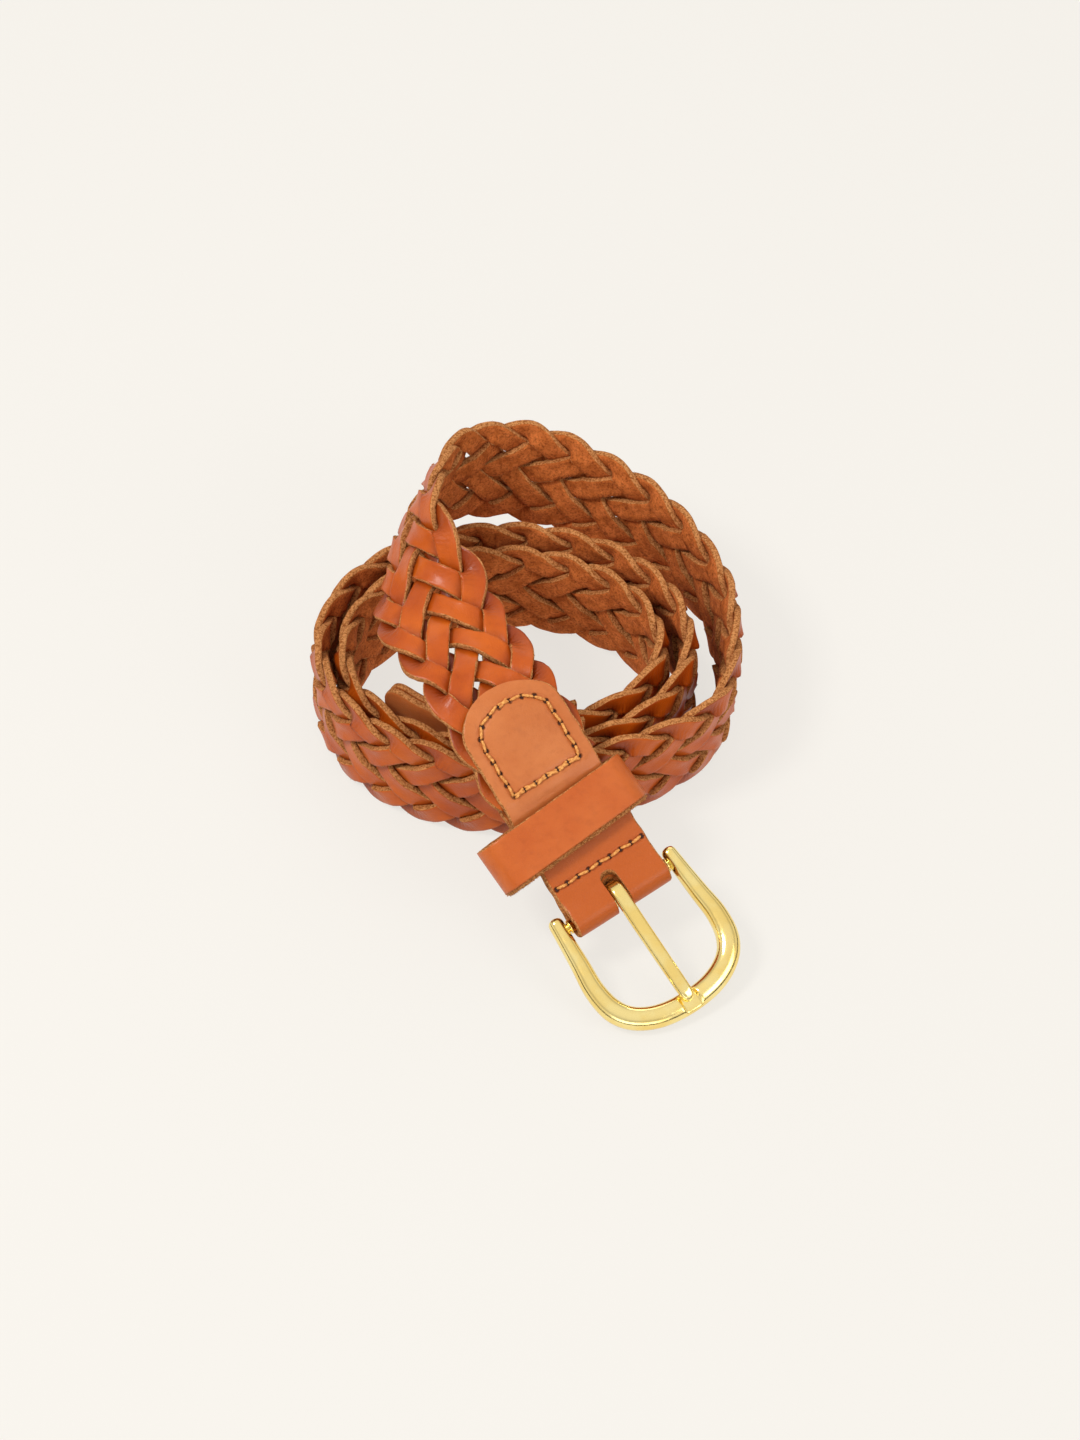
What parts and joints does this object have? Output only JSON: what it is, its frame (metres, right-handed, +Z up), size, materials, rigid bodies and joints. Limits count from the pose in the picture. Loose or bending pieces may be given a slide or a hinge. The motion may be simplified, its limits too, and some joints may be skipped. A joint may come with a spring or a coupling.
{
  "type": "braided leather belt",
  "caption": "Plaited tan leather belt coiled on its edge, with a stitched chape, a loose keeper loop and a gold horseshoe buckle.",
  "frame": {"origin": "on the ground, under the middle of the coiled belt's outline", "axes": "+Z up, +Y towards the back of the coil (the buckle lies towards -Y), +X to the right"},
  "size_m": [0.1201, 0.1776, 0.0682],
  "materials": {
    "braid_leather": "smooth tan grain, suede back",
    "chape_leather": "smooth tan grain, suede back",
    "thread": "waxed tan thread",
    "gold": "polished gold plate",
    "steel": "plain wire"
  },
  "bodies": {
    "strap": {"strand_1": "braid_leather", "strand_2": "braid_leather", "strand_3": "braid_leather", "strand_4": "braid_leather", "strand_5": "braid_leather", "strand_6": "braid_leather", "strand_7": "braid_leather", "buckle_chape": "chape_leather", "tip_front": "chape_leather", "tip_back": "chape_leather", "box_stitch_top": "thread", "box_stitch_under": "thread", "bar_stitch_top": "thread", "bar_stitch_under": "thread", "tip_stitch_top": "thread", "tip_stitch_under": "thread"},
    "buckle": {"buckle_frame": "gold", "buckle_bar": "gold"},
    "tongue": {"prong": "gold"},
    "keeper": {"keeper_loop": "chape_leather", "keeper_staple": "steel"}
  },
  "joints": [
    {"name": "buckle_pivot", "type": "hinge", "parent": "strap", "child": "buckle", "pos_m": [0.0248, -0.0547, 0.0169], "axis": [-0.8249, -0.5504, -0.1291], "range_deg": [0, 60]},
    {"name": "prong_pivot", "type": "hinge", "parent": "buckle", "child": "tongue", "pos_m": [0.0248, -0.0547, 0.0169], "axis": [-0.8249, -0.5504, -0.1291], "range_deg": [0, 60]},
    {"name": "keeper_slide", "type": "slide", "parent": "strap", "child": "keeper", "axis": [0.5272, -0.6664, -0.5272], "range_m": [0, 0.006]}
  ]
}
